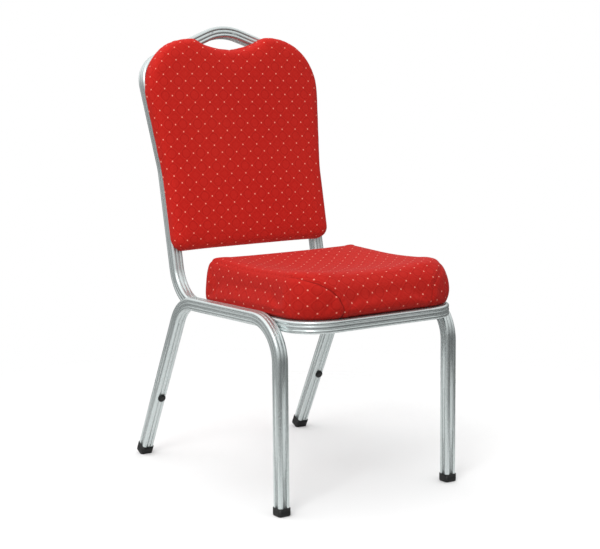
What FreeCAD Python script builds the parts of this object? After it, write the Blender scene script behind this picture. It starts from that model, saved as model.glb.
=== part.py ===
import FreeCAD, Part
import math
import os
import re
import Sketcher

# Stacking banquet chair: two bent leg frames, a back frame and a front bow of ribbed aluminium tube,
# an upholstered seat that lies between the leg rails, and an upholstered back on the front of the hoop.
# Axes: X across the chair, -Y is where the sitter faces, +Z up. Millimetres and degrees.
# Lengths along Y are written from the middle of the front feet; the last placement moves every piece
# so that the chair's box is centred on the origin and stands on Z = 0.

os.makedirs("parts", exist_ok=True)
doc = FreeCAD.newDocument("StackingChair")
sizes = doc.addObject("Spreadsheet::Sheet", "Sizes")

SIZES = [
    # ribbed tube
    ("tube_width", 25.0),
    ("rib_valley_offset", 4.2),
    ("rib_valley_depth", 1.1),
    ("tube_wall", 2.6),
    # leg frames
    ("leg_spacing", 414.0),
    ("front_leg_lean", 0.9),
    ("rail_height", 378.5),
    ("seat_slope", 1.95),
    ("rear_corner_reach", 369.7),
    ("rear_leg_angle", 26.05),
    ("leg_bend_radius", 80.0),
    # glides and bumpers
    ("foot_height", 16.0),
    ("foot_lip", 1.5),
    ("foot_corner_radius", 6.0),
    ("foot_edge_radius", 3.0),
    ("plug_length", 24.0),
    ("plug_clearance", 0.15),
    ("bumper_height", 145.0),
    ("bumper_diameter", 17.0),
    ("bumper_thickness", 5.0),
    ("bumper_stem_diameter", 6.0),
    ("stem_clearance", 0.1),
    # back frame
    ("seat_tube_drop", 9.3),
    ("back_corner_offset", 51.9),
    ("back_recline", 12.5),
    ("back_bend_radius", 85.0),
    ("flare_start", 282.8),
    ("flare_angle", 6.2),
    ("flare_radius", 200.0),
    ("handle_apex", 583.5),
    ("handle_slope", 21.4),
    ("shoulder_radius", 52.5),
    ("handle_radius", 115.0),
    # front bow
    ("bow_front_reach", 48.5),
    ("bow_corner_radius", 65.0),
    ("joint_reach", 190.0),
    ("sleeve_length", 60.0),
    ("sleeve_wall", 2.0),
    ("sleeve_clearance", 0.1),
    # cross tube and seat brackets
    ("cross_tube_diameter", 22.0),
    ("cross_tube_wall", 2.0),
    ("cross_tube_setback", 86.6),
    ("bracket_length", 30.0),
    ("bracket_width", 28.0),
    ("bracket_thickness", 3.0),
    ("bracket_drop", 18.0),
    ("bracket_front_reach", 30.0),
    ("bracket_rear_inset", 43.0),
    ("bracket_hole_inset", 13.0),
    # fasteners
    ("screw_diameter", 6.0),
    ("screw_clearance", 0.3),
    ("screw_head_diameter", 12.0),
    ("screw_head_height", 3.6),
    ("washer_diameter", 14.0),
    ("washer_thickness", 1.4),
    ("nut_flange_diameter", 18.0),
    ("nut_flange_thickness", 1.2),
    ("nut_barrel_diameter", 8.0),
    ("nut_barrel_length", 8.0),
    ("thread_clearance", 0.05),
    ("staple_crown", 10.0),
    ("staple_wire", 0.8),
    ("staple_pitch", 40.0),
    ("staple_inset", 4.0),
    # seat
    ("cover_thickness", 1.2),
    ("dust_cover_thickness", 0.6),
    ("seat_side_clearance", 0.5),
    ("seat_front_overhang", 7.0),
    ("seat_back_gap", 120.6),
    ("seat_front_corner", 96.0),
    ("seat_rear_corner", 26.0),
    ("seat_height", 84.0),
    ("seat_edge_radius", 14.0),
    ("board_thickness", 12.0),
    ("dust_cover_gap", 2.0),
    ("dust_cover_lap", 5.0),
    ("dust_cover_margin", 18.0),
    # back
    ("back_board_thickness", 10.0),
    ("back_foam_thickness", 22.0),
    ("back_edge_radius", 14.0),
    ("back_side_overhang", 5.5),
    ("back_bottom", 105.5),
    ("back_bottom_corner", 34.0),
    ("back_top_drop", 25.0),
    ("back_shoulder_radius", 110.0),
    ("back_hump_half", 85.7),
    ("back_hump_radius", 18.0),
    ("back_dip_slope", 30.6),
    ("back_dip_radius", 155.0),
    ("back_flare_lead", 14.8),
    ("back_turn_in", 26.0),
    ("rear_panel_gap", 3.0),
    ("rear_panel_bottom", 114.0),
    ("rear_panel_top_drop", 59.5),
    ("rear_panel_corner", 20.0),
    ("rear_board_thickness", 3.0),
    ("rear_foam_thickness", 18.0),
    ("rear_panel_edge_radius", 8.0),
    ("back_screw_low", 150.0),
    ("back_screw_drop", 183.5),
]
for row, (alias, number) in enumerate(SIZES, start=1):
    sizes.set("A%d" % row, alias)
    sizes.set("B%d" % row, str(number))
    sizes.setAlias("B%d" % row, alias)
doc.recompute()


ALIASES = {alias for alias, _ in SIZES}
Vector = FreeCAD.Vector


def cell(expression):
    """The number that an expression on the sheet's names gives."""
    result = sizes.evalExpression(expression)
    return float(getattr(result, "Value", result))


def linked(expression):
    """The same expression as other objects write it, with the sheet's name before each alias."""
    def with_sheet(match):
        word = match.group(0)
        return "Sizes." + word if word in ALIASES else word
    return re.sub(r"[a-z_]+", with_sheet, expression)


def bind(thing, prop, expression):
    thing.setExpression(prop, linked(expression))


# ---------------------------------------------------------------- places that several pieces share
LEAN = "tan(front_leg_lean * 1deg)"
SLOPE = "tan(seat_slope * 1deg)"
REAR = "tan(rear_leg_angle * 1deg)"
HALF = "tube_width / 2"
BORE_HALF = "(tube_width / 2 - tube_wall)"
FOOT_WIDTH = "(tube_width + 2 * foot_lip)"
BACK_REACH = "(rear_corner_reach + back_corner_offset)"

# rail centreline: Z = rail_height - SLOPE * Y; both leg bends are corners on it
FRONT_CORNER_Y = "(%s * rail_height)" % LEAN
REAR_CORNER_Y = "rear_corner_reach"
REAR_CORNER_Z = "(rail_height - %s * rear_corner_reach)" % SLOPE
REAR_FOOT_Y = "(rear_corner_reach + (%s) * %s)" % (REAR_CORNER_Z, REAR)
# the seat tube runs below the rail, and the back tube rises from it at the back corner
SEAT_PLANE_Z = "(rail_height - seat_tube_drop)"
BACK_CORNER_Z = "(rail_height - seat_tube_drop - %s * %s)" % (SLOPE, BACK_REACH)
SEAT_TUBE_X = "(leg_spacing / 2 - tube_width)"
# the seat lies between the rails, hangs a little over the bow and ends short of the uprights
SEAT_HALF_WIDTH = "(leg_spacing / 2 - %s - seat_side_clearance)" % HALF
SEAT_FRONT = "(bow_front_reach + %s + seat_front_overhang)" % HALF
SEAT_REAR = "(%s - seat_back_gap)" % BACK_REACH
REAR_TILT = "(rear_leg_angle * 1deg)"
REAR_END_Z = "(foot_height + %s * sin%s)" % (HALF, REAR_TILT)
REAR_END_Y = "(%s - %s * %s)" % (REAR_FOOT_Y, REAR_END_Z, REAR)
REAR_GLIDE = "((%s - %s * sin%s / 6) / cos%s)" % (REAR_END_Z, FOOT_WIDTH, REAR_TILT, REAR_TILT)
# the box runs from the lower front edge of the seat to the lower back edge of the rear glides
FRONT_LIMIT = "(%s * cos(seat_slope * 1deg) - %s * sin(seat_slope * 1deg))" % (SEAT_FRONT, HALF)
REAR_LIMIT = "(%s + %s * sin%s + %s / 2 * cos%s)" % (REAR_END_Y, REAR_GLIDE, REAR_TILT, FOOT_WIDTH, REAR_TILT)
CENTRING = "((%s - %s) / 2)" % (FRONT_LIMIT, REAR_LIMIT)


def seat_body(name):
    """A body drawn in the seat's own plane: its XY plane is the seat tubes' centre plane."""
    body = doc.addObject("PartDesign::Body", name)
    body.Placement = FreeCAD.Placement(Vector(0, 0, 0), FreeCAD.Rotation(Vector(1, 0, 0), -1))
    bind(body, "Placement.Rotation.Angle", "-seat_slope * 1deg")
    bind(body, "Placement.Base.y", CENTRING)
    bind(body, "Placement.Base.z", SEAT_PLANE_Z)
    return body


def back_body(name):
    """A body drawn along the back: Z rises along the uprights from the back corner, -Y faces forward."""
    body = doc.addObject("PartDesign::Body", name)
    body.Placement = FreeCAD.Placement(Vector(0, 0, 0), FreeCAD.Rotation(Vector(1, 0, 0), -1))
    bind(body, "Placement.Rotation.Angle", "-back_recline * 1deg")
    bind(body, "Placement.Base.y", "%s + %s" % (BACK_REACH, CENTRING))
    bind(body, "Placement.Base.z", BACK_CORNER_Z)
    return body


def plane_of(body, role):
    return [feature for feature in body.Origin.OriginFeatures if feature.Role == role][0]


def new_sketch(body, name, role="XY_Plane", level=None):
    sketch = body.newObject("Sketcher::SketchObject", name)
    sketch.AttachmentSupport = [(plane_of(body, role), "")]
    sketch.MapMode = "FlatFace"
    if level is not None:
        bind(sketch, "AttachmentOffset.Base.z", level)
    return sketch


def pin(sketch, geometry, position, x, y):
    """Hold one point of a sketch at two expressions."""
    for kind, expression in (("DistanceX", x), ("DistanceY", y)):
        number = sketch.addConstraint(
            Sketcher.Constraint(kind, -1, 1, geometry, position, cell(expression)))
        bind(sketch, "Constraints[%d]" % number, expression)


def set_radius(sketch, geometry, expression):
    number = sketch.addConstraint(Sketcher.Constraint("Radius", geometry, cell(expression)))
    bind(sketch, "Constraints[%d]" % number, expression)


def rounded(sketch, corners, closed=True):
    """Straight runs between corners (x, y, radius); a corner with a radius is rounded by a tangent arc."""
    points = [Vector(cell(x), cell(y), 0) for x, y, _ in corners]
    count = len(corners)
    starts, ends, arcs = [None] * count, [None] * count, {}
    for i, (_, _, radius) in enumerate(corners):
        here = points[i]
        if radius is None:
            starts[i] = ends[i] = here
            continue
        back = (points[i - 1] - here).normalize()
        on = (points[(i + 1) % count] - here).normalize()
        half_angle = back.getAngle(on) / 2
        reach = cell(radius) / math.tan(half_angle)
        ends[i] = here + back * reach
        starts[i] = here + on * reach
        middle = here + (back + on).normalize() * (cell(radius) / math.sin(half_angle) - cell(radius))
        arcs[i] = Part.Arc(ends[i], middle, starts[i])
    lines = {}
    for i in range(count if closed else count - 1):
        lines[i] = sketch.addGeometry(Part.LineSegment(starts[i], ends[(i + 1) % count]), False)
    for i, (x, y, radius) in enumerate(corners):
        before = lines.get((i - 1) % count) if closed or i > 0 else None
        after = lines.get(i)
        if radius is None:
            if before is not None and after is not None:
                sketch.addConstraint(Sketcher.Constraint("Coincident", before, 2, after, 1))
            pin(sketch, *((after, 1) if after is not None else (before, 2)), x, y)
            continue
        arc = sketch.addGeometry(arcs[i], False)
        arc_ends = (sketch.getPoint(arc, 1), sketch.getPoint(arc, 2))
        first, last = (1, 2) if (arc_ends[0] - ends[i]).Length < (arc_ends[1] - ends[i]).Length else (2, 1)
        corner = sketch.addGeometry(Part.Point(points[i]), True)
        pin(sketch, corner, 1, x, y)
        sketch.addConstraint(Sketcher.Constraint("PointOnObject", corner, 1, before))
        sketch.addConstraint(Sketcher.Constraint("PointOnObject", corner, 1, after))
        sketch.addConstraint(Sketcher.Constraint("Tangent", before, 2, arc, first))
        sketch.addConstraint(Sketcher.Constraint("Tangent", arc, last, after, 1))
        set_radius(sketch, arc, radius)
    return sketch


def mirrored(corners):
    """A whole outline from its right half, whose points run from bottom to top."""
    left = [("-(%s)" % x, y, radius) for x, y, radius in reversed(corners)]
    return list(corners) + left


def box_corners(half_x, half_y, radius):
    return mirrored([(half_x, "-(%s)" % half_y, radius), (half_x, half_y, radius)])


def circle(sketch, x, y, diameter):
    centre = Vector(cell(x), cell(y), 0)
    ring = sketch.addGeometry(Part.Circle(centre, Vector(0, 0, 1), cell(diameter) / 2), False)
    pin(sketch, ring, 3, x, y)
    set_radius(sketch, ring, "(%s) / 2" % diameter)


def pad(body, sketch, length, reverse=False):
    feature = body.newObject("PartDesign::Pad", sketch.Name + "Pad")
    feature.Profile = sketch
    feature.Reversed = reverse
    bind(feature, "Length", length)
    return feature


def pocket(body, sketch, length, reverse=False):
    """A pocket, tested: it has to take volume away."""
    doc.recompute()
    before = body.Tip.Shape.Volume
    feature = body.newObject("PartDesign::Pocket", sketch.Name + "Pocket")
    feature.Profile = sketch
    feature.Reversed = reverse
    bind(feature, "Length", length)
    doc.recompute()
    if not feature.Shape.Volume < before:
        raise RuntimeError("%s takes nothing away" % feature.Name)
    return feature


def round_edges(body, radius, chosen):
    """Fillet the edges of the body's last shape that the test chooses."""
    doc.recompute()
    tip = body.Tip
    names = ["Edge%d" % (i + 1) for i, edge in enumerate(tip.Shape.Edges) if chosen(edge)]
    feature = body.newObject("PartDesign::Fillet", body.Name + "Round")
    feature.Base = (tip, names)
    bind(feature, "Radius", radius)
    return feature


def flat_at(edge, axis, level, tolerance=1e-3):
    """True when every point of an edge lies at one level along an axis, 0 for X, 1 for Y, 2 for Z."""
    box = edge.BoundBox
    low = (box.XMin, box.YMin, box.ZMin)[axis]
    high = (box.XMax, box.YMax, box.ZMax)[axis]
    return abs(low - level) < tolerance and abs(high - level) < tolerance


# ---------------------------------------------------------------- ribbed tube
LOBE_CENTRE = ("(rib_valley_offset - rib_valley_depth"
               " + sqrt(2 * rib_valley_depth * (tube_width / 2 - rib_valley_offset)))")
MID_RIB_RADIUS = "((rib_valley_offset ^ 2 + rib_valley_depth ^ 2) / (2 * rib_valley_depth))"


def ribbed_outline(sketch):
    """The tube's outside: four corner ribs and four middle ribs, each one arc, that meet in eight valleys."""
    half = cell(HALF)
    offset = cell("rib_valley_offset")
    level = half - cell("rib_valley_depth")
    lobe = cell(LOBE_CENTRE)
    previous = first = None
    for quarter in range(4):
        turn = FreeCAD.Rotation(Vector(0, 0, 1), 90 * quarter)
        valley = Vector(level, -offset, 0)
        top = Vector(level, offset, 0)
        corner = Vector(offset, level, 0)
        lobe_top = Vector(1, 1, 0) * (lobe + (half - lobe) / math.sqrt(2))
        for a, m, b, radius in ((valley, Vector(half, 0, 0), top, MID_RIB_RADIUS),
                                (top, lobe_top, corner, "%s - %s" % (HALF, LOBE_CENTRE))):
            points = [turn.multVec(p) for p in (a, m, b)]
            arc = sketch.addGeometry(Part.Arc(*points), False)
            if previous is not None:
                sketch.addConstraint(Sketcher.Constraint("Coincident", previous, 2, arc, 1))
            first = arc if first is None else first
            previous = arc
            place = []
            for value in (points[0].x, points[0].y):
                on_valley_line = abs(abs(value) - level) < abs(abs(value) - offset)
                size = "(%s - rib_valley_depth)" % HALF if on_valley_line else "rib_valley_offset"
                place.append("-" + size if value < 0 else size)
            pin(sketch, arc, 1, *place)
            set_radius(sketch, arc, radius)
    sketch.addConstraint(Sketcher.Constraint("Coincident", previous, 2, first, 1))


def pipe(body, kind, profile, path):
    feature = body.newObject("PartDesign::%sPipe" % kind, profile.Name + "Pipe")
    feature.Profile = profile
    feature.Spine = path
    feature.Refine = False
    doc.recompute()
    return feature


def tilt_sketch(sketch, angle):
    """Turn an attached sketch about its own X axis."""
    offset = sketch.AttachmentOffset
    sketch.AttachmentOffset = FreeCAD.Placement(offset.Base, FreeCAD.Rotation(Vector(1, 0, 0), 1))
    bind(sketch, "AttachmentOffset.Rotation.Angle", "(%s) * 1deg" % angle)


def ribbed_pipe(body, name, path_plane, corners, profile_plane, spot, tilt=None):
    """A hollow ribbed tube along a planar path; planes are (role, level), and the profile stands on its own
    plane with its middle at a spot (x, y)."""
    path = rounded(new_sketch(body, name + "Path", *path_plane), corners, closed=False)
    for kind, part in (("Additive", "Outside"), ("Subtractive", "Bore")):
        profile = new_sketch(body, name + part, *profile_plane)
        bind(profile, "AttachmentOffset.Base.x", spot[0])
        bind(profile, "AttachmentOffset.Base.y", spot[1])
        if tilt:
            tilt_sketch(profile, tilt)
        if part == "Outside":
            ribbed_outline(profile)
        else:
            rounded(profile, box_corners(BORE_HALF, BORE_HALF, "tube_wall"))
        pipe(body, kind, profile, path)


def drill(body, name, role, level, spots, diameter, depth, reverse=False):
    """Round holes from one plane of the body."""
    sketch = new_sketch(body, name, role, level)
    for x, y in spots:
        circle(sketch, x, y, diameter)
    return pocket(body, sketch, depth, reverse)


# ---------------------------------------------------------------- leg frames
# Each is one tube: front leg, bend, rail, bend, splayed rear leg. Both ends are cut square to the leg.
FRONT_TILT = "(front_leg_lean * 1deg)"
FRONT_END_Z = "(foot_height + %s * sin%s)" % (HALF, FRONT_TILT)
FRONT_END_Y = "(%s * %s)" % (FRONT_END_Z, LEAN)
FRONT_GLIDE = "((%s - %s * sin%s / 6) / cos%s)" % (FRONT_END_Z, FOOT_WIDTH, FRONT_TILT, FRONT_TILT)
BUMPER_Y = "(%s - bumper_height * %s)" % (REAR_FOOT_Y, REAR)


def leg_frame(name, side):
    body = doc.addObject("PartDesign::Body", name)
    bind(body, "Placement.Base.x", "%s * leg_spacing / 2" % side)
    bind(body, "Placement.Base.y", CENTRING)
    corners = [(FRONT_END_Y, FRONT_END_Z, None),
               (FRONT_CORNER_Y, "rail_height - %s * %s" % (SLOPE, FRONT_CORNER_Y), "leg_bend_radius"),
               (REAR_CORNER_Y, REAR_CORNER_Z, "leg_bend_radius"),
               (REAR_END_Y, REAR_END_Z, None)]
    ribbed_pipe(body, name, ("YZ_Plane", None), corners, ("XY_Plane", FRONT_END_Z), ("0", FRONT_END_Y),
                "-front_leg_lean")
    # the bumper's stem goes through the front wall of the rear leg
    hole = new_sketch(body, name + "StemHole", "XZ_Plane", "-" + BUMPER_Y)
    bind(hole, "AttachmentOffset.Base.y", "bumper_height")
    tilt_sketch(hole, "rear_leg_angle")
    circle(hole, "0", "0", "bumper_stem_diameter + 2 * stem_clearance")
    pocket(body, hole, "tube_width", reverse=True)


# ---------------------------------------------------------------- back frame and front bow
# One tube rises from the left seat rail, over the shoulders and the handle, and down to the right rail.
FOLD = "(back_recline - seat_slope)"
FLARE = "tan(flare_angle * 1deg)"
HANDLE = "tan(handle_slope * 1deg)"
UPRIGHT_SPLIT = "(back_bend_radius + tube_width)"
RAIL_RUN = "(%s / cos(seat_slope * 1deg) - joint_reach)" % BACK_REACH


def hoop_corner(inward):
    """The sharp corner of the hoop's side and top lines, both moved inward from the tube's middle."""
    side = "(%s - %s / cos(flare_angle * 1deg))" % (SEAT_TUBE_X, inward)
    top = "(handle_apex - %s / cos(handle_slope * 1deg))" % inward
    x = "((%s + (%s - flare_start) * %s) / (1 + %s * %s))" % (side, top, FLARE, FLARE, HANDLE)
    return x, "(%s - %s * %s)" % (top, x, HANDLE)


def along_flare(height):
    """Half the hoop's width, to the tube's middle, at a height on its flared sides."""
    return "(%s + (%s - flare_start) * %s)" % (SEAT_TUBE_X, height, FLARE)


SCREW_LOW = (SEAT_TUBE_X, "back_screw_low")
SCREW_LEVEL = "(handle_apex - back_screw_drop)"
SCREW_HIGH = (along_flare(SCREW_LEVEL), SCREW_LEVEL)
BACK_SCREWS = [SCREW_LOW, SCREW_HIGH, ("-" + SCREW_LOW[0], SCREW_LOW[1]), ("-" + SCREW_HIGH[0], SCREW_HIGH[1])]


def back_frame(name):
    body = back_body(name)
    shoulder = hoop_corner("0")
    side = [(SEAT_TUBE_X, UPRIGHT_SPLIT, None),
            (SEAT_TUBE_X, "flare_start", "flare_radius"),
            (shoulder[0], shoulder[1], "shoulder_radius")]
    hoop = side + [("0", "handle_apex", "handle_radius")]
    hoop += [("-" + x, y, radius) for x, y, radius in reversed(side)]
    ribbed_pipe(body, name + "Hoop", ("XZ_Plane", None), hoop, ("XY_Plane", UPRIGHT_SPLIT), (SEAT_TUBE_X, "0"))
    for side_name, sign in (("Left", "-"), ("Right", "")):
        x = sign + SEAT_TUBE_X
        bend = [("0", UPRIGHT_SPLIT, None), ("0", "0", "back_bend_radius"),
                ("-%s * cos(%s * 1deg)" % (RAIL_RUN, FOLD), "-%s * sin(%s * 1deg)" % (RAIL_RUN, FOLD), None)]
        ribbed_pipe(body, name + side_name, ("YZ_Plane", x), bend, ("XY_Plane", UPRIGHT_SPLIT), (x, "0"))
    drill(body, name + "Holes", "XZ_Plane", "-" + HALF, BACK_SCREWS,
          "screw_diameter + 2 * screw_clearance", "tube_width", reverse=True)


def front_bow(name):
    body = seat_body(name)
    path = [(SEAT_TUBE_X, "joint_reach", None),
            (SEAT_TUBE_X, "-bow_front_reach", "bow_corner_radius"),
            ("-" + SEAT_TUBE_X, "-bow_front_reach", "bow_corner_radius"),
            ("-" + SEAT_TUBE_X, "joint_reach", None)]
    ribbed_pipe(body, name, ("XY_Plane", None), path, ("XZ_Plane", "-joint_reach"), (SEAT_TUBE_X, "0"))


def joint_sleeve(name, side):
    """A short square tube inside both ends where the back frame meets the front bow."""
    body = seat_body(name)
    outer = "(%s - sleeve_clearance)" % BORE_HALF
    inner = "(%s - sleeve_wall)" % outer
    for kind, half in (("Outside", outer), ("Bore", inner)):
        sketch = new_sketch(body, name + kind, "XZ_Plane", "-(joint_reach + sleeve_length / 2)")
        bind(sketch, "AttachmentOffset.Base.x", "%s * %s" % (side, SEAT_TUBE_X))
        if kind == "Outside":
            rounded(sketch, box_corners(half, half, "tube_wall"))
            pad(body, sketch, "sleeve_length")
        else:
            rounded(sketch, box_corners(half, half, "sleeve_wall / 4"))
            pocket(body, sketch, "sleeve_length", reverse=True)


def rear_cross_tube(name):
    body = seat_body(name)
    reach = "(%s - %s)" % (SEAT_TUBE_X, HALF)
    bore = "cross_tube_diameter - 2 * cross_tube_wall"
    for kind, diameter in (("Outside", "cross_tube_diameter"), ("Bore", bore)):
        sketch = new_sketch(body, name + kind, "YZ_Plane", "-" + reach)
        circle(sketch, "(%s - cross_tube_setback)" % BACK_REACH, "0", diameter)
        if kind == "Outside":
            pad(body, sketch, "2 * " + reach)
        else:
            pocket(body, sketch, "2 * " + reach, reverse=True)


# ---------------------------------------------------------------- seat brackets and their fasteners
BRACKET_TOP = "(%s - dust_cover_thickness)" % HALF
BRACKET_X = "(%s - %s)" % (SEAT_TUBE_X, HALF)
SEAT_BOARD_LOW = "(%s + cover_thickness)" % HALF
SEAT_BOARD_HIGH = "(%s + board_thickness)" % SEAT_BOARD_LOW
SEAT_HOLE_X = "(%s - bracket_length + bracket_hole_inset)" % BRACKET_X
BRACKET_REAR = "(%s - bracket_rear_inset)" % SEAT_REAR
SEAT_SCREWS = [(sign + SEAT_HOLE_X, reach) for sign in ("", "-")
               for reach in ("bracket_front_reach", BRACKET_REAR)]


def seat_bracket(name, side, reach):
    """An angle welded to the inner face of the seat tube, with its flange under the seat board."""
    body = seat_body(name)
    sketch = new_sketch(body, name + "Angle", "XZ_Plane", "-(%s + bracket_width / 2)" % reach)
    low = "(%s - bracket_drop)" % BRACKET_TOP
    under = "(%s - bracket_thickness)" % BRACKET_TOP
    wall = "(%s - bracket_thickness)" % BRACKET_X
    corners = [(BRACKET_X, low), (BRACKET_X, BRACKET_TOP), ("(%s - bracket_length)" % BRACKET_X, BRACKET_TOP),
               ("(%s - bracket_length)" % BRACKET_X, under), (wall, under), (wall, low)]
    rounded(sketch, [("%s * %s" % (side, x), z, None) for x, z in corners])
    pad(body, sketch, "bracket_width")
    drill(body, name + "Hole", "XY_Plane", BRACKET_TOP, [("%s * %s" % (side, SEAT_HOLE_X), reach)],
          "screw_diameter + 2 * screw_clearance", "bracket_thickness")


def discs(body, name, role, spots, diameter, low, high, hole=None):
    """A round disc or ring at each spot between two levels of the plane."""
    sketch = new_sketch(body, name, role, low)
    for x, y in spots:
        circle(sketch, x, y, diameter)
        if hole:
            circle(sketch, x, y, hole)
    pad(body, sketch, "%s - %s" % (high, low))
    doc.recompute()


def screws(name, make_body, role, spots, head_low, head_high, tip):
    body = make_body(name)
    body.AllowCompound = True
    discs(body, name + "Head", role, spots, "screw_head_diameter", head_low, head_high)
    discs(body, name + "Shank", role, spots, "screw_diameter", head_high, tip)
    round_edges(body, "screw_head_height / 3",
                lambda edge: flat_at(edge, 2 if role == "XY_Plane" else 1,
                                     cell(head_low) * (1 if role == "XY_Plane" else -1)))


def t_nuts(name, make_body, role, spots, flange_high):
    body = make_body(name)
    body.AllowCompound = True
    thread = "screw_diameter + 2 * thread_clearance"
    flange_low = "(%s - nut_flange_thickness)" % flange_high
    discs(body, name + "Barrel", role, spots, "nut_barrel_diameter",
          "(%s - nut_barrel_length)" % flange_low, flange_low, thread)
    discs(body, name + "Flange", role, spots, "nut_flange_diameter", flange_low, flange_high, thread)


WASHER_LOW = "(%s - bracket_thickness - washer_thickness)" % BRACKET_TOP


# ---------------------------------------------------------------- upholstery
SEAT_TOP = "(%s + seat_height)" % HALF


def less(radius, inset):
    """A corner's radius after the outline moves inward, never sharper than 1 mm."""
    return "max(%s - (%s); 1)" % (radius, inset)


def seat_outline(inset):
    """Seen from above: large front corners that follow the bow, small rear corners."""
    x = "(%s - %s)" % (SEAT_HALF_WIDTH, inset)
    return mirrored([(x, "-(%s - %s)" % (SEAT_FRONT, inset), less("seat_front_corner", inset)),
                     (x, "(%s - %s)" % (SEAT_REAR, inset), less("seat_rear_corner", inset))])


def inside_tubes(inset):
    """The space between the seat tubes and the bow, seen from below, closed behind at the seat's rear edge."""
    inward = "(%s + dust_cover_gap + %s)" % (HALF, inset)
    x = "(%s - %s)" % (SEAT_TUBE_X, inward)
    return mirrored([(x, "-(bow_front_reach - %s)" % inward, less("bow_corner_radius", inward)),
                     (x, "(%s - dust_cover_margin - %s)" % (SEAT_REAR, inset),
                      less("seat_rear_corner", "dust_cover_margin + %s" % inset))])


def back_outline(inset):
    """Seen from the front: a straight waist, flared shoulders, two humps and a dip for the hand."""
    half_width = "(%s + %s + back_side_overhang)" % (SEAT_TUBE_X, HALF)
    crown = "(handle_apex - back_top_drop)"
    flare_low = "(flare_start - back_flare_lead)"
    flare_x = "(%s + (%s - %s) * %s)" % (half_width, crown, flare_low, FLARE)
    half_flare = "tan(flare_angle / 2 * 1deg)"
    dip = "tan(back_dip_slope * 1deg)"
    side = "(%s - %s)" % (half_width, inset)
    top = "(%s - %s)" % (crown, inset)
    right = [(side, "(back_bottom + %s)" % inset, less("back_bottom_corner", inset)),
             (side, "(%s + %s * %s)" % (flare_low, inset, half_flare), "flare_radius + %s" % inset),
             ("(%s - %s * (1 / cos(flare_angle * 1deg) + %s))" % (flare_x, inset, FLARE), top,
              less("back_shoulder_radius", inset)),
             ("(back_hump_half + %s * tan(back_dip_slope / 2 * 1deg))" % inset, top,
              less("back_hump_radius", inset))]
    middle = [("0", "(%s - back_hump_half * %s - %s / cos(back_dip_slope * 1deg))" % (crown, dip, inset),
               "back_dip_radius + %s" % inset)]
    return right + middle + [("-" + x, y, radius) for x, y, radius in reversed(right)]


def rear_panel_outline(inset):
    """The panel that fills the hoop behind the back board, one gap inside the tube."""
    inward = "(%s + rear_panel_gap + %s)" % (HALF, inset)
    side = "(%s - %s)" % (SEAT_TUBE_X, inward)
    corner = hoop_corner(inward)
    top = "(handle_apex - rear_panel_top_drop - %s)" % inset
    top_x = "((handle_apex - %s / cos(handle_slope * 1deg) - %s) / %s)" % (inward, top, HANDLE)
    return mirrored([(side, "(rear_panel_bottom + %s)" % inset, less("rear_panel_corner", inset)),
                     (side, "(flare_start + %s * tan(flare_angle / 2 * 1deg))" % inward,
                      "flare_radius + %s" % inward),
                     (corner[0], corner[1], less("shoulder_radius", inward)),
                     (top_x, top, less("rear_panel_corner", inset))])


def slab(body, name, role, outline, low, high, edge_radius=None, round_low=False):
    """A plate between two levels of a plane; an edge radius rounds the rim at the high or the low level."""
    sketch = rounded(new_sketch(body, name, role, low), outline)
    pad(body, sketch, "%s - %s" % (high, low))
    if edge_radius:
        axis, sign = (2, 1) if role == "XY_Plane" else (1, -1)
        rim = sign * cell(low if round_low else high)
        round_edges(body, edge_radius, lambda edge: flat_at(edge, axis, rim))


def cut(name, base, tool):
    """One piece less another, as its own object."""
    feature = doc.addObject("Part::Cut", name)
    feature.Base = base
    feature.Tool = tool
    return feature


def seat_upholstery():
    skin = "cover_thickness"
    board = seat_body("seat_board")
    slab(board, "seat_boardPlate", "XY_Plane", seat_outline(skin), SEAT_BOARD_LOW, SEAT_BOARD_HIGH)
    drill(board, "seat_boardBarrel", "XY_Plane", SEAT_BOARD_HIGH, SEAT_SCREWS, "nut_barrel_diameter",
          "board_thickness")
    drill(board, "seat_boardFlange", "XY_Plane", SEAT_BOARD_HIGH, SEAT_SCREWS, "nut_flange_diameter",
          "nut_flange_thickness")
    inner_top = "(%s - cover_thickness)" % SEAT_TOP
    inner_edge = "seat_edge_radius - cover_thickness"
    foam = seat_body("seat_foam")
    slab(foam, "seat_foamBlock", "XY_Plane", seat_outline(skin), SEAT_BOARD_HIGH, inner_top, inner_edge)
    outside = seat_body("SeatCoverOutside")
    slab(outside, "SeatCoverOutsideBlock", "XY_Plane", seat_outline("0"), HALF, SEAT_TOP, "seat_edge_radius")
    opening = rounded(new_sketch(outside, "SeatCoverOpening", "XY_Plane", SEAT_BOARD_LOW),
                      inside_tubes("dust_cover_lap"))
    pocket(outside, opening, skin)
    inside = seat_body("SeatCoverInside")
    slab(inside, "SeatCoverInsideBlock", "XY_Plane", seat_outline(skin), SEAT_BOARD_LOW, inner_top, inner_edge)
    cut("seat_cover", outside, inside)
    # the dust cover laps the turned-in edge of the cover, and stays inside the seat tubes
    dust = seat_body("seat_dust_cover")
    slab(dust, "seat_dust_coverSheet", "XY_Plane", inside_tubes("0"), BRACKET_TOP, HALF)
    drill(dust, "seat_dust_coverHoles", "XY_Plane", HALF, SEAT_SCREWS,
          "screw_diameter + 2 * screw_clearance", "dust_cover_thickness")


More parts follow.
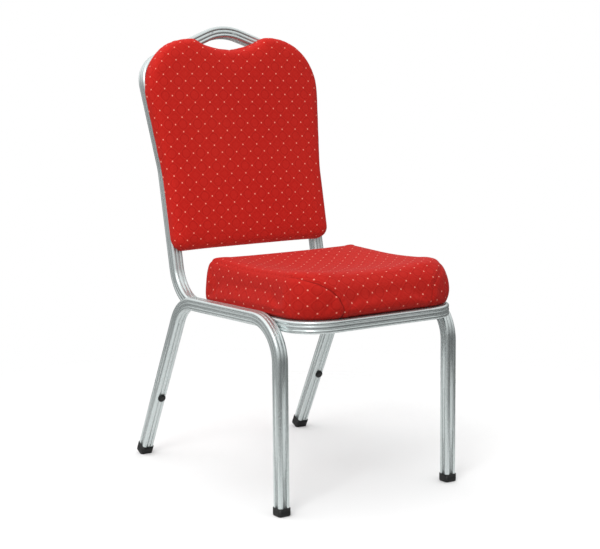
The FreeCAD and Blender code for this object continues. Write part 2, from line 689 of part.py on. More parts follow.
def seat_staples(name):
    """The crowns of the staples that hold the dust cover and the turned-in cover under the board."""
    body = seat_body(name)
    body.AllowCompound = True
    inward = "(%s + dust_cover_gap + staple_inset)" % HALF
    side = "(%s - %s)" % (SEAT_TUBE_X, inward)
    middle = "(bracket_front_reach + %s) / 2" % BRACKET_REAR
    front = "-(bow_front_reach - %s)" % inward
    rear = "(%s - dust_cover_margin - staple_inset)" % SEAT_REAR
    sketch = new_sketch(body, name + "Crowns", "XY_Plane", "(%s - staple_wire)" % BRACKET_TOP)
    side_pitch = "((%s - bracket_front_reach - bracket_width) / 5)" % BRACKET_REAR
    for step in range(-2, 3):
        across = "(%d) * staple_pitch" % step
        along = "%s + (%d) * %s" % (middle, step, side_pitch)
        spots = [(side, along, "staple_wire", "staple_crown"),
                 ("-" + side, along, "staple_wire", "staple_crown"),
                 (across, front, "staple_crown", "staple_wire"),
                 (across, rear, "staple_crown", "staple_wire")]
        for x, y, width, depth in spots:
            rounded(sketch, [("%s + %s * %s / 2" % (x, a, width), "%s + %s * %s / 2" % (y, b, depth), None)
                             for a, b in ((1, -1), (1, 1), (-1, 1), (-1, -1))])
    pad(body, sketch, "staple_wire")


BACK_BOARD_NEAR = "(%s + cover_thickness)" % HALF
BACK_BOARD_FAR = "(%s + back_board_thickness)" % BACK_BOARD_NEAR
BACK_FOAM_FAR = "(%s + back_foam_thickness)" % BACK_BOARD_FAR


def back_upholstery():
    skin = "cover_thickness"
    board = back_body("back_board")
    slab(board, "back_boardPlate", "XZ_Plane", back_outline(skin), BACK_BOARD_NEAR, BACK_BOARD_FAR)
    drill(board, "back_boardBarrel", "XZ_Plane", BACK_BOARD_FAR, BACK_SCREWS, "nut_barrel_diameter",
          "back_board_thickness")
    drill(board, "back_boardFlange", "XZ_Plane", BACK_BOARD_FAR, BACK_SCREWS, "nut_flange_diameter",
          "nut_flange_thickness")
    edge = "back_edge_radius - cover_thickness"
    foam = back_body("back_foam")
    slab(foam, "back_foamBlock", "XZ_Plane", back_outline(skin), BACK_BOARD_FAR, BACK_FOAM_FAR, edge)
    outside = back_body("BackCoverOutside")
    slab(outside, "BackCoverOutsideBlock", "XZ_Plane", back_outline("0"), HALF,
         "(%s + cover_thickness)" % BACK_FOAM_FAR, "back_edge_radius")
    opening = rounded(new_sketch(outside, "BackCoverOpening", "XZ_Plane", BACK_BOARD_NEAR),
                      back_outline("back_turn_in"))
    pocket(outside, opening, skin)
    drill(outside, "BackCoverHoles", "XZ_Plane", BACK_BOARD_NEAR, BACK_SCREWS,
          "screw_diameter + 2 * screw_clearance", skin)
    inside = back_body("BackCoverInside")
    slab(inside, "BackCoverInsideBlock", "XZ_Plane", back_outline(skin), BACK_BOARD_NEAR, BACK_FOAM_FAR, edge)
    cut("back_cover", outside, inside)


def rear_upholstery():
    """Levels run forward from the tube's middle, so this stack is built from its rear face forward."""
    skin = "cover_thickness"
    board_near = "(%s - rear_board_thickness)" % HALF
    foam_near = "(%s - rear_foam_thickness)" % board_near
    edge = "rear_panel_edge_radius - cover_thickness"
    board = back_body("rear_panel_board")
    slab(board, "rear_panel_boardPlate", "XZ_Plane", rear_panel_outline(skin), board_near, HALF)
    foam = back_body("rear_panel_foam")
    slab(foam, "rear_panel_foamBlock", "XZ_Plane", rear_panel_outline(skin), foam_near, board_near, edge, True)
    outside = back_body("RearCoverOutside")
    slab(outside, "RearCoverOutsideBlock", "XZ_Plane", rear_panel_outline("0"),
         "(%s - cover_thickness)" % foam_near, HALF, "rear_panel_edge_radius", True)
    inside = back_body("RearCoverInside")
    slab(inside, "RearCoverInsideBlock", "XZ_Plane", rear_panel_outline(skin), foam_near, HALF, edge, True)
    cut("rear_panel_cover", outside, inside)


# ---------------------------------------------------------------- glides and stacking bumpers
def leg_body(name, side, y, z, angle):
    """A body whose Z axis runs up a leg from a point on the leg's middle line."""
    body = doc.addObject("PartDesign::Body", name)
    body.Placement = FreeCAD.Placement(Vector(0, 0, 0), FreeCAD.Rotation(Vector(1, 0, 0), 1))
    bind(body, "Placement.Rotation.Angle", "(%s) * 1deg" % angle)
    bind(body, "Placement.Base.x", "%s * leg_spacing / 2" % side)
    bind(body, "Placement.Base.y", "%s + %s" % (y, CENTRING))
    bind(body, "Placement.Base.z", z)
    return body


def foot_glide(name, side, y, z, angle, below):
    """A rounded glide under the tube's end with a plug inside the tube, flat where it meets the floor."""
    body = leg_body(name + "Blank", side, y, z, angle)
    block = rounded(new_sketch(body, name + "Block"),
                    box_corners(FOOT_WIDTH + " / 2", FOOT_WIDTH + " / 2", "foot_corner_radius"))
    pad(body, block, below, reverse=True)
    doc.recompute()
    round_edges(body, "foot_edge_radius", lambda edge: flat_at(edge, 2, -cell(below)))
    plug_half = "(%s - plug_clearance)" % BORE_HALF
    plug = rounded(new_sketch(body, name + "Plug"), box_corners(plug_half, plug_half, "tube_wall"))
    pad(body, plug, "plug_length")
    floor = doc.addObject("Part::Box", name + "Floor")
    bind(floor, "Length", "4 * " + FOOT_WIDTH)
    bind(floor, "Width", "4 * " + FOOT_WIDTH)
    bind(floor, "Height", FOOT_WIDTH)
    bind(floor, "Placement.Base.x", "%s * leg_spacing / 2 - 2 * %s" % (side, FOOT_WIDTH))
    bind(floor, "Placement.Base.y", "%s + %s - 2 * %s" % (y, CENTRING, FOOT_WIDTH))
    bind(floor, "Placement.Base.z", "-" + FOOT_WIDTH)
    cut(name, body, floor)


def stacking_bumper(name, side):
    """A round button on the front of a rear leg, with its stem pressed through the tube's wall."""
    body = leg_body(name, side, BUMPER_Y, "bumper_height", "rear_leg_angle")
    far = "(%s + bumper_thickness)" % HALF
    discs(body, name + "Button", "XZ_Plane", [("0", "0")], "bumper_diameter", HALF, far)
    discs(body, name + "Stem", "XZ_Plane", [("0", "0")], "bumper_stem_diameter",
          "(%s - tube_wall - bumper_thickness)" % HALF, HALF)
    round_edges(body, "bumper_thickness / 2", lambda edge: flat_at(edge, 1, -cell(far)))


# ---------------------------------------------------------------- build
back_frame("back_frame")
front_bow("front_bow")
rear_cross_tube("rear_cross_tube")
for side_name, side in (("left", -1), ("right", 1)):
    leg_frame("leg_frame_" + side_name, side)
    joint_sleeve("joint_sleeve_" + side_name, side)
    foot_glide("foot_glide_front_" + side_name, side, FRONT_END_Y, FRONT_END_Z, "-front_leg_lean", FRONT_GLIDE)
    foot_glide("foot_glide_rear_" + side_name, side, REAR_END_Y, REAR_END_Z, "rear_leg_angle", REAR_GLIDE)
    stacking_bumper("stacking_bumper_" + side_name, side)
    seat_bracket("seat_bracket_front_" + side_name, side, "bracket_front_reach")
    seat_bracket("seat_bracket_rear_" + side_name, side, BRACKET_REAR)
seat_upholstery()
seat_staples("seat_staples")
back_upholstery()
rear_upholstery()

washers = seat_body("seat_screw_washers")
washers.AllowCompound = True
discs(washers, "seat_screw_washersRing", "XY_Plane", SEAT_SCREWS, "washer_diameter", WASHER_LOW,
      "(%s - bracket_thickness)" % BRACKET_TOP, "screw_diameter + 2 * screw_clearance")
screws("seat_screws", seat_body, "XY_Plane", SEAT_SCREWS, "(%s - screw_head_height)" % WASHER_LOW, WASHER_LOW,
       "(%s - nut_flange_thickness)" % SEAT_BOARD_HIGH)
t_nuts("seat_t_nuts", seat_body, "XY_Plane", SEAT_SCREWS, SEAT_BOARD_HIGH)
screws("back_screws", back_body, "XZ_Plane", BACK_SCREWS, "(-%s - screw_head_height)" % HALF, "(-%s)" % HALF,
       "(%s - nut_flange_thickness)" % BACK_BOARD_FAR)
t_nuts("back_t_nuts", back_body, "XZ_Plane", BACK_SCREWS, BACK_BOARD_FAR)
doc.recompute()

# ---------------------------------------------------------------- check and export
NODES = ["leg_frame_left", "leg_frame_right", "back_frame", "front_bow", "rear_cross_tube",
         "joint_sleeve_left", "joint_sleeve_right",
         "seat_bracket_front_left", "seat_bracket_front_right",
         "seat_bracket_rear_left", "seat_bracket_rear_right",
         "foot_glide_front_left", "foot_glide_front_right",
         "foot_glide_rear_left", "foot_glide_rear_right",
         "stacking_bumper_left", "stacking_bumper_right",
         "seat_board", "seat_foam", "seat_cover", "seat_dust_cover", "seat_staples",
         "seat_screws", "seat_screw_washers", "seat_t_nuts",
         "back_board", "back_foam", "back_cover", "back_screws", "back_t_nuts",
         "rear_panel_board", "rear_panel_foam", "rear_panel_cover"]

for thing in doc.Objects:
    if "Invalid" in thing.State or "Error" in thing.State:
        raise RuntimeError("%s failed: %s" % (thing.Name, thing.State))
for node in NODES:
    shape = doc.getObject(node).Shape
    if shape.isNull() or not shape.isValid() or not shape.Solids:
        raise RuntimeError("%s has no valid solid" % node)
for node in NODES:
    piece = doc.getObject(node)
    piece.Label = node
    piece.Shape.exportStep("parts/%s.step" % node)
    print("%-26s %2d solid(s) %12.1f mm3" % (node, len(piece.Shape.Solids), piece.Shape.Volume))
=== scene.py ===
# %% [markdown]
# # A stacking banquet chair
#
# The chair has a frame of ribbed aluminium tube, a thick seat that lies between the leg rails, and a
# padded back on the front of an arched hoop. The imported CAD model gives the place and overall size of
# every piece. This script keeps the hard pieces of that model, gives them finishes, and makes the
# upholstery afresh.

# %% Load the frame
import bmesh
import bpy
import math
import numpy as np
from mathutils import Matrix, Vector


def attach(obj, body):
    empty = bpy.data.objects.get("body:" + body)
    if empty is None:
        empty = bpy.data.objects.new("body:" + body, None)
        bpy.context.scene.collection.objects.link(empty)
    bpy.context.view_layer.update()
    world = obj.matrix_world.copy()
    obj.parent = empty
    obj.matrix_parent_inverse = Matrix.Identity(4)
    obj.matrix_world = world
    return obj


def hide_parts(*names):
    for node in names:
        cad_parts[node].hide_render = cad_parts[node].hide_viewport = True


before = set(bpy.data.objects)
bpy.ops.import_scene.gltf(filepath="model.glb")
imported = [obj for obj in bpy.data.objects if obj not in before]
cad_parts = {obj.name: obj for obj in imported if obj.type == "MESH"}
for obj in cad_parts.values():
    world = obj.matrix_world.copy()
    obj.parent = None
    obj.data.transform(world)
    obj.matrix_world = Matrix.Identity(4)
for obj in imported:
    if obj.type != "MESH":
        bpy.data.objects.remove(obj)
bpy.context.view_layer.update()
scene = bpy.context.scene

# %% [markdown]
# ## Camera
#
# A long lens from the chair's front left, a little above the seat, keeps the legs almost parallel.

# %% Camera
camera = bpy.data.objects.new("camera", bpy.data.cameras.new("camera"))
scene.collection.objects.link(camera)
camera.location = (-1.8430, -2.6980, 0.9487)
aim = Vector((0.0069, 0.0037, 0.4184))
camera.rotation_mode = "QUATERNION"
camera.rotation_quaternion = (aim - camera.location).to_track_quat("-Z", "Y")
camera.data.sensor_fit = "HORIZONTAL"
camera.data.sensor_width = 36.0
camera.data.lens = 95.1
scene.camera = camera

# %% [markdown]
# ## Writing shader maths
#
# A node tree for a pattern is a lot of small sums. The class below wraps a socket, so that a sum can be
# written as plain arithmetic, and `node` adds any other node from its type, its settings and its inputs.


# %% Shader helpers
class Value:
    """One number that changes over a surface, as a socket that can be added, multiplied and compared."""

    def __init__(self, nodes, socket):
        self.nodes, self.socket = nodes, socket

    def sum(self, operation, *values):
        return self.nodes.value("ShaderNodeMath", {"operation": operation}, *values)

    def __add__(self, other):
        return self.sum("ADD", self, other)

    __radd__ = __add__

    def __sub__(self, other):
        return self.sum("SUBTRACT", self, other)

    def __rsub__(self, other):
        return self.sum("SUBTRACT", other, self)

    def __mul__(self, other):
        return self.sum("MULTIPLY", self, other)

    __rmul__ = __mul__

    def __truediv__(self, other):
        return self.sum("DIVIDE", self, other)

    def most(self, other):
        return self.sum("MAXIMUM", self, other)

    def least(self, other):
        return self.sum("MINIMUM", self, other)

    def size(self):
        return self.sum("ABSOLUTE", self)

    def root(self):
        return self.sum("SQRT", self)

    def cell(self):
        """How far a number is from the nearest whole one, from 0 to 0.5."""
        return (self.sum("FRACT", self + 0.5) - 0.5).size()


class Nodes:
    """A node tree, with short ways to add to it."""

    def __init__(self, tree):
        self.tree = tree

    def link(self, value, socket):
        if isinstance(value, Value):
            value = value.socket
        if isinstance(value, bpy.types.NodeSocket):
            self.tree.links.new(value, socket)
        else:
            socket.default_value = value

    def node(self, kind, settings=None, *values, output=0, **named):
        """Add a node; settings come first, then its inputs in order, or by name. Gives one output socket."""
        made = self.tree.nodes.new(kind)
        for setting, value in (settings or {}).items():
            setattr(made, setting, value)
        for socket, value in zip(made.inputs, values):
            self.link(value, socket)
        for socket, value in named.items():
            self.link(value, made.inputs[socket.replace("_", " ")])
        return made.outputs[output]

    def value(self, kind, settings=None, *values, **named):
        return Value(self, self.node(kind, settings, *values, **named))

    def parts(self, vector):
        split = self.tree.nodes.new("ShaderNodeSeparateXYZ")
        self.link(vector, split.inputs[0])
        return [Value(self, split.outputs[i]) for i in range(3)]

    def grain(self, place, scale, detail=2.0, stretch=(1, 1, 1)):
        """Soft noise from 0 to 1."""
        stretched = self.node("ShaderNodeMapping", None, place, Scale=stretch)
        return self.value("ShaderNodeTexNoise", None, Vector=stretched, Scale=scale, Detail=detail)

    def step(self, value, low, high, start=0.0, end=1.0):
        """A smooth step: start below low, end above high."""
        smooth = {"interpolation_type": "SMOOTHSTEP"}
        return self.value("ShaderNodeMapRange", smooth, value, low, high, start, end)

    def blend(self, factor, first, second):
        """The first colour where the factor is 0, the second where it is 1."""
        mix = self.tree.nodes.new("ShaderNodeMix")
        mix.data_type = "RGBA"
        colours = [socket for socket in mix.inputs if socket.type == "RGBA"]
        self.link(factor, mix.inputs[0])
        for socket, colour in zip(colours, (first, second)):
            self.link(colour, socket)
        return [socket for socket in mix.outputs if socket.type == "RGBA"][0]


class Finish(Nodes):
    """A material with one Principled shader."""

    def __init__(self, name, **sockets):
        self.material = bpy.data.materials.new(name)
        self.material.use_nodes = True
        super().__init__(self.material.node_tree)
        self.shader = self.tree.nodes["Principled BSDF"]
        for socket, value in sockets.items():
            self.shader.inputs[socket.replace("_", " ")].default_value = value

    def place(self, attribute=None):
        """The point on the piece in metres, or one of the piece's own attributes."""
        if attribute:
            return self.node("ShaderNodeAttribute", {"attribute_name": attribute}, output="Vector")
        return self.node("ShaderNodeTexCoord", output="Object")

    def bump(self, height, depth):
        """Raise the surface by a height from 0 to 1 times a depth in metres."""
        return self.node("ShaderNodeBump", None, Strength=1.0, Distance=depth, Height=height)

    def give(self, socket, value):
        self.link(value, self.shader.inputs[socket])


def linear(red, green, blue):
    """A colour as it looks on a screen, 0 to 255, as the linear light that a shader takes."""
    def light(level):
        level /= 255
        return level / 12.92 if level <= 0.04045 else ((level + 0.055) / 1.055) ** 2.4
    return (light(red), light(green), light(blue), 1.0)


# %% [markdown]
# ## Studio light and floor
#
# The room is bright overhead and on the chair's left, where x is negative, and dimmer low down and in
# front, so that the ribs of the tube and the rolls of the cushions show in soft light and shade. One
# large lamp adds a key light. The floor is a pale round sheet that thins out to nothing at its rim, so
# no horizon shows behind the chair.

# %% The room
scene.view_settings.view_transform = "Standard"
world = bpy.data.worlds.new("studio")
world.use_nodes = True
scene.world = world
room = Nodes(world.node_tree)
right, behind, up = room.parts(room.node("ShaderNodeTexCoord", output="Generated"))
glow = room.step(up, -0.05, 0.60, 0.14, 1.14)
glow = glow + room.step(right, 0.5, -1.0, 0.0, 0.45) * room.step(up, -0.3, 0.1)
glow = glow - room.step(behind, 0.1, -0.9, 0.0, 0.12)
shade = world.node_tree.nodes["Background"]
room.link(glow, shade.inputs["Color"])
white = room.node("ShaderNodeBackground", None, (1.0, 1.0, 1.0, 1.0), 1.0)
seen = room.node("ShaderNodeLightPath", output="Is Camera Ray")
both = room.node("ShaderNodeMixShader", None, seen, shade.outputs[0], white)
room.link(both, world.node_tree.nodes["World Output"].inputs["Surface"])


# %% Soft lamps
def soft_lamp(name, place, size, power):
    """A square area lamp at a place, turned to the middle of the chair."""
    lamp = bpy.data.objects.new(name, bpy.data.lights.new(name, "AREA"))
    lamp.data.size = size
    lamp.data.energy = power
    lamp.location = place
    lamp.rotation_mode = "QUATERNION"
    lamp.rotation_quaternion = (Vector((0, 0, 0.5)) - Vector(place)).to_track_quat("-Z", "Y")
    scene.collection.objects.link(lamp)


soft_lamp("key", (-2.4, -1.9, 2.9), 1.3, 48)

# %% The floor
ground = bmesh.new()
bmesh.ops.create_circle(ground, cap_ends=True, segments=64, radius=2.2)
floor = bpy.data.objects.new("floor", bpy.data.meshes.new("floor"))
ground.to_mesh(floor.data)
ground.free()
scene.collection.objects.link(floor)
pale = Finish("pale_floor", Roughness=0.9, Specular_IOR_Level=0.1)
spot = pale.place()
x, y, _ = pale.parts(spot)
away = (x * x + y * y).root()
pale.give("Base Color", pale.blend(pale.grain(spot, 3.0), (0.87, 0.87, 0.87, 1), (0.89, 0.89, 0.89, 1)))
pale.give("Alpha", pale.step(away, 0.2, 1.3, 1.0, 0.0))
floor.data.materials.append(pale.material)

# %% [markdown]
# ## Hard pieces
#
# The CAD pieces that stay have the right shape, but their mesh is loose flat triangles. A copy of each
# one is merged into a closed skin and shaded smooth, with only its real edges kept sharp, so that the
# ribs of the tube stay crisp and its bends are round.

# %% Copies of the hard pieces


def add_piece(name, mesh, finish, replaces=()):
    """Link a finished mesh as a piece of the chair that takes the place of CAD nodes."""
    piece = bpy.data.objects.new(name, mesh)
    scene.collection.objects.link(piece)
    mesh.materials.clear()
    mesh.materials.append(finish.material)
    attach(piece, "root")
    if replaces:
        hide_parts(*replaces)
    return piece


def points_of(mesh):
    flat = np.zeros(len(mesh.vertices) * 3)
    mesh.vertices.foreach_get("co", flat)
    return flat.reshape(-1, 3)


def normals_of(mesh):
    flat = np.zeros(len(mesh.vertices) * 3, np.float32)
    mesh.vertex_normals.foreach_get("vector", flat)
    return flat.reshape(-1, 3)


def carry(mesh, name, values):
    """Keep a vector with each point of the mesh."""
    attribute = mesh.attributes.new(name, "FLOAT_VECTOR", "POINT")
    attribute.data.foreach_set("vector", np.ascontiguousarray(values, dtype=np.float32).ravel())


def find_hollows(mesh, reach=0.006):
    """Mark each point with how hollow the skin is there: 0 on flats and crests, up to 1 in a groove.
    In a groove, a point's short edges climb along its own normal."""
    points, normals = points_of(mesh), normals_of(mesh)
    ends = np.zeros(len(mesh.edges) * 2, np.int32)
    mesh.edges.foreach_get("vertices", ends)
    hollow = np.zeros(len(points))
    for one, other in (ends.reshape(-1, 2).T, ends.reshape(-1, 2).T[::-1]):
        run = points[other] - points[one]
        length = np.linalg.norm(run, axis=1)
        climb = (run * normals[one]).sum(1) / np.maximum(length, 1e-9)
        np.maximum.at(hollow, one, np.where(length < reach, climb, 0.0))
    hollow = np.clip(hollow / 0.5, 0, 1)
    carry(mesh, "hollow", np.stack([hollow] * 3, 1))


def smooth_copy(node, finish, sharp=32):
    """The same shape as a CAD node, as one closed skin with smooth faces and sharp real edges."""
    shell = bmesh.new()
    shell.from_mesh(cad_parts[node].data)
    bmesh.ops.remove_doubles(shell, verts=shell.verts, dist=1e-6)
    mesh = bpy.data.meshes.new(node + "_skin")
    shell.to_mesh(mesh)
    shell.free()
    find_hollows(mesh)
    mesh.shade_smooth()
    mesh.set_sharp_from_angle(angle=math.radians(sharp))
    return add_piece(node + "_skin", mesh, finish, [node])


# %% [markdown]
# ## Anodised aluminium
#
# The tube is extruded and then anodised, so it has a soft metal sheen and a cool grey-green tone. The
# valleys between the ribs are rougher than the crests, and painted darker as painted shade.

# %% Tube finish
tube = Finish("anodised_tube", Metallic=0.75)
spot = tube.place()
cloudy = tube.grain(spot, 9.0, 3.0)
fine = tube.grain(spot, 1200.0, 2.0)
groove = tube.parts(tube.place("hollow"))[0]
tone = tube.blend(cloudy, linear(196, 205, 204), linear(214, 221, 221))
tone = tube.blend(fine * 0.12, tone, linear(170, 178, 176))
# Painted shade: the colour darkens towards a deep grey-green where the hollow mark is high, in the valleys
# between the ribs.
tube.give("Base Color", tube.blend(groove * 0.55, tone, linear(112, 122, 120)))
tube.give("Roughness", 0.22 + 0.06 * cloudy + 0.04 * fine + 0.3 * groove)
tube.give("Normal", tube.bump(fine, 0.000004))

tube_nodes = ["leg_frame_left", "leg_frame_right", "back_frame", "front_bow", "rear_cross_tube"]
tube_nodes += ["joint_sleeve_left", "joint_sleeve_right"]
tube_nodes += ["seat_bracket_%s_%s" % (end, side) for end in ("front", "rear") for side in ("left", "right")]
for node in tube_nodes:
    skin = smooth_copy(node, tube)
    print(node, len(skin.data.polygons), "faces")

# %% [markdown]
# ## Black plastic
#
# Glides and bumpers are moulded in nylon: nearly black, satin, with a fine grain and scuffs that are
# lighter near the floor.

# %% Glide and bumper finish
nylon = Finish("black_nylon", Specular_IOR_Level=0.3)
spot = nylon.place()
height = nylon.parts(spot)[2]
scuff = nylon.grain(spot, 260.0, 3.0) * nylon.step(height, 0.0, 0.012, 1.0, 0.15)
nylon.give("Base Color", nylon.blend(scuff * 0.4, linear(9, 11, 11), linear(52, 53, 52)))
nylon.give("Roughness", 0.40 + 0.3 * scuff)
nylon.give("Normal", nylon.bump(nylon.grain(spot, 900.0), 0.00005))
for side in ("left", "right"):
    for node in ("foot_glide_front_", "foot_glide_rear_", "stacking_bumper_"):
        smooth_copy(node + side, nylon)

# %% [markdown]
# ## Fasteners and the dust cover
#
# Screws, washers, nuts and staples are zinc-plated steel: bright, a little blue, with cloudy patches
# where the plating is thin. The cover that hides the underside of the seat is a black felt of pressed
# fibres, with no weave and no shine.

# %% Zinc and felt
zinc = Finish("zinc_plate", Metallic=0.95)
spot = zinc.place()
patch = zinc.grain(spot, 160.0, 3.0)
zinc.give("Base Color", zinc.blend(patch, linear(176, 182, 190), linear(206, 209, 212)))
zinc.give("Roughness", 0.28 + 0.22 * patch)
zinc.give("Normal", zinc.bump(zinc.grain(spot, 700.0), 0.00003))
zinc_nodes = ["seat_screws", "seat_screw_washers", "seat_t_nuts", "seat_staples"]
zinc_nodes += ["back_screws", "back_t_nuts"]
for node in zinc_nodes:
    smooth_copy(node, zinc)

felt = Finish("black_felt", Roughness=0.95, Specular_IOR_Level=0.1)
spot = felt.place()
fibre = felt.grain(spot, 900.0, 3.0) * 0.6 + felt.grain(spot, 240.0, 2.0, (1.0, 0.2, 1.0)) * 0.4
felt.give("Base Color", felt.blend(fibre, linear(14, 14, 15), linear(44, 44, 46)))
felt.give("Normal", felt.bump(fibre, 0.0002))
smooth_copy("seat_dust_cover", felt)

# %% [markdown]
# ## The cloth
#
# The chair is covered in one woven cloth: red, with small pale pink dots on a lattice of slanted lines.
# Every second diamond of the lattice holds a darker ring, the others a fainter diamond. It is drawn
# from two numbers, how far a point lies along the cloth in each direction, which every upholstered
# piece carries with it, so the pattern bends and turns with the panel it was cut from.

# %% Cloth finish
REPEAT_ACROSS, REPEAT_ALONG = 0.0343, 0.0297
DOT, RING = 0.0015, 0.0098
THREAD = 0.00062


def red_cloth(name, depth, seams=False):
    """The cloth, darkened by the factor depth as painted shade. A piece with seams carries a second pair of
    numbers for its other panel."""
    cloth = Finish(name, Roughness=0.85, Sheen_Weight=0.03, Sheen_Roughness=0.5, Specular_IOR_Level=0.1)
    spot = cloth.place()
    flat = cloth.place("weave")
    if seams:
        past = cloth.value("ShaderNodeMath", {"operation": "GREATER_THAN"},
                           cloth.parts(cloth.place("seam"))[0], 0.0)
        mix = cloth.tree.nodes.new("ShaderNodeMix")
        mix.data_type = "VECTOR"
        sockets = [socket for socket in mix.inputs if socket.type == "VECTOR" and socket.name in "AB"]
        cloth.link(past, mix.inputs[0])
        cloth.link(flat, sockets[0])
        cloth.link(cloth.place("weave_band"), sockets[1])
        flat = [socket for socket in mix.outputs if socket.type == "VECTOR"][0]
    across, along = cloth.parts(flat)[:2]
    u, v = across / REPEAT_ACROSS, along / REPEAT_ALONG

    def reach(shift_u, shift_v):
        """Distance in metres to the nearest point of a lattice."""
        x, y = (u + shift_u).cell() * REPEAT_ACROSS, (v + shift_v).cell() * REPEAT_ALONG
        return (x * x + y * y).root()

    dot_reach = reach(0.0, 0.0).least(reach(0.5, 0.5))
    ring_reach = reach(0.5, 0.0)
    slant = (u + v).cell().least((u - v).cell())
    other = (u.cell() + (v + 0.5).cell())
    ring_line = cloth.step((ring_reach - RING).size(), 0.0012, 0.0004)
    disc = cloth.step(ring_reach, RING - 0.0012, RING - 0.0030)
    line = cloth.step(slant, 0.055, 0.030)
    small_line = cloth.step((other - 0.30).size(), 0.040, 0.018)
    small = cloth.step(other, 0.28, 0.20)
    dot = cloth.step(dot_reach, DOT + 0.0004, DOT - 0.0004)

    thread_u = (across / THREAD).cell() * 2.0
    thread_v = (along / THREAD).cell() * 2.0
    thread = thread_u * thread_v
    faded = cloth.grain(spot, 5.0, 2.0)
    fuzz = cloth.grain(spot, 700.0, 2.0)
    colour = cloth.blend(faded, linear(200, 30, 24), linear(210, 43, 32))
    colour = cloth.blend(line.most(small * 0.4) * 0.25, colour, linear(222, 62, 50))
    colour = cloth.blend(disc * 0.20, colour, linear(214, 52, 42))
    colour = cloth.blend(ring_line.most(small_line * 0.4) * 0.30, colour, linear(150, 12, 12))
    colour = cloth.blend(fuzz * 0.18 + 0.22 * thread, colour, linear(140, 10, 12))
    if seams:
        # Painted shade: the cloth is darker along the seam's furrow, more where the seam is drawn tighter.
        stitched = cloth.parts(cloth.place("seam"))
        furrow = cloth.step(stitched[0].size(), 0.0016, 0.0004) * stitched[1]
        colour = cloth.blend(furrow * 0.55, colour, linear(84, 6, 8))
    # Painted shade: a depth below 1 darkens the whole cloth, dots and all.
    colour = cloth.blend(depth, linear(0, 0, 0), cloth.blend(dot, colour, linear(255, 160, 140)))
    cloth.give("Base Color", colour)
    cloth.give("Roughness", 0.72 + 0.16 * fuzz - 0.14 * dot)
    height = 0.35 * thread + 0.5 * dot + 0.3 * line - 0.45 * ring_line + 0.15 * fuzz
    cloth.give("Normal", cloth.bump(height, 0.00025))
    return cloth


cloth = red_cloth("red_cloth", 1.0)
# The seat's cloth is a darker copy of the back's, at 0.84 of its colour: painted shade.
shaded_seamed_cloth = red_cloth("red_seamed_cloth", 0.84, seams=True)

# %% [markdown]
# ## How the upholstery is made
#
# A seat or back is a block of cut foam with a cloth drawn over it and stapled under the board. Here
# each one starts as a flat outline with rounded corners, slightly too small, which is extruded and
# bevelled, remeshed into even squares, and blown up a little by a cloth simulation, held still where it
# rests on the frame. A limit on how far a point may move keeps it near the space of its CAD solid, and
# it is then stretched to its full size.

# %% Upholstery helpers
SQUARE, PRESSURE, UNDER_EDGE = 0.0045, 5.0, 0.004


def rounded_face(shape, corners):
    """A flat face from corners (x, y, radius), in order."""
    points = [Vector((x, y, 0)) for x, y, _ in corners]
    verts = [shape.verts.new(point) for point in points]
    shape.faces.new(verts)
    for i, (_, _, radius) in enumerate(corners):
        back = points[i - 1] - points[i]
        on = points[(i + 1) % len(points)] - points[i]
        turn = math.pi - back.angle(on)
        bmesh.ops.bevel(shape, geom=[verts[i]], offset=radius * math.tan(turn / 2), offset_type="OFFSET",
                        affect="VERTICES", segments=max(4, round(turn * 8)), profile=0.5, material=-1)


def block(corners, depth, front_edge, back_edge):
    """A rounded outline made into a block whose two rims are rounded by their own radii."""
    shape = bmesh.new()
    rounded_face(shape, corners)
    raised = bmesh.ops.extrude_face_region(shape, geom=shape.faces[:])["geom"]
    top = [part for part in raised if isinstance(part, bmesh.types.BMVert)]
    bmesh.ops.translate(shape, vec=(0, 0, depth), verts=top)
    bmesh.ops.recalc_face_normals(shape, faces=shape.faces[:])
    for level, radius in ((depth, front_edge), (0.0, back_edge)):
        rim = [e for e in shape.edges if all(abs(v.co.z - level) < 1e-6 for v in e.verts)]
        bmesh.ops.bevel(shape, geom=rim, offset=radius, offset_type="OFFSET", affect="EDGES", segments=5,
                        profile=0.5, material=-1)
    return shape


def settled(piece):
    """The mesh of an object with its modifiers carried out."""
    return bpy.data.meshes.new_from_object(piece.evaluated_get(bpy.context.evaluated_depsgraph_get()))


def even_squares(shape, name):
    """The block as an object, remeshed into even squares."""
    piece = bpy.data.objects.new(name + "_form", bpy.data.meshes.new(name + "_form"))
    shape.to_mesh(piece.data)
    shape.free()
    scene.collection.objects.link(piece)
    remesh = piece.modifiers.new("squares", "REMESH")
    remesh.mode = "VOXEL"
    remesh.voxel_size = SQUARE
    piece.data = settled(piece)
    piece.modifiers.clear()
    smooth = bmesh.new()
    smooth.from_mesh(piece.data)
    for _ in range(4):
        bmesh.ops.smooth_vert(smooth, verts=smooth.verts, factor=0.5, use_axis_x=True, use_axis_y=True,
                              use_axis_z=True)
    smooth.to_mesh(piece.data)
    smooth.free()
    return piece


def put_points(mesh, points):
    mesh.vertices.foreach_set("co", points.ravel())
    mesh.update()


def carried(mesh, name):
    flat = np.zeros(len(mesh.vertices) * 3, np.float32)
    mesh.attributes[name].data.foreach_get("vector", flat)
    return flat.reshape(-1, 3)


def blow_up(piece, held, limit):
    """Fill the form with air for twenty frames; held points stay, and no point moves past the limit."""
    start = points_of(piece.data)
    group = piece.vertex_groups.new(name="held")
    group.add([int(i) for i in np.nonzero(held)[0]], 1.0, "REPLACE")
    puff = piece.modifiers.new("puff", "CLOTH")
    puff.settings.use_pressure = True
    puff.settings.uniform_pressure_force = PRESSURE
    puff.settings.vertex_group_mass = "held"
    puff.settings.effector_weights.gravity = 0.0
    for step in range(1, 21):
        scene.frame_set(step)
    blown = points_of(settled(piece))
    scene.frame_set(1)
    piece.modifiers.clear()
    piece.vertex_groups.clear()
    move = blown - start
    length = np.linalg.norm(move, axis=1, keepdims=True)
    moved = start + move * np.minimum(1.0, limit / np.maximum(length, 1e-9))
    print(piece.name, "moved up to %.1f mm" % (1000 * length.max()))
    return moved


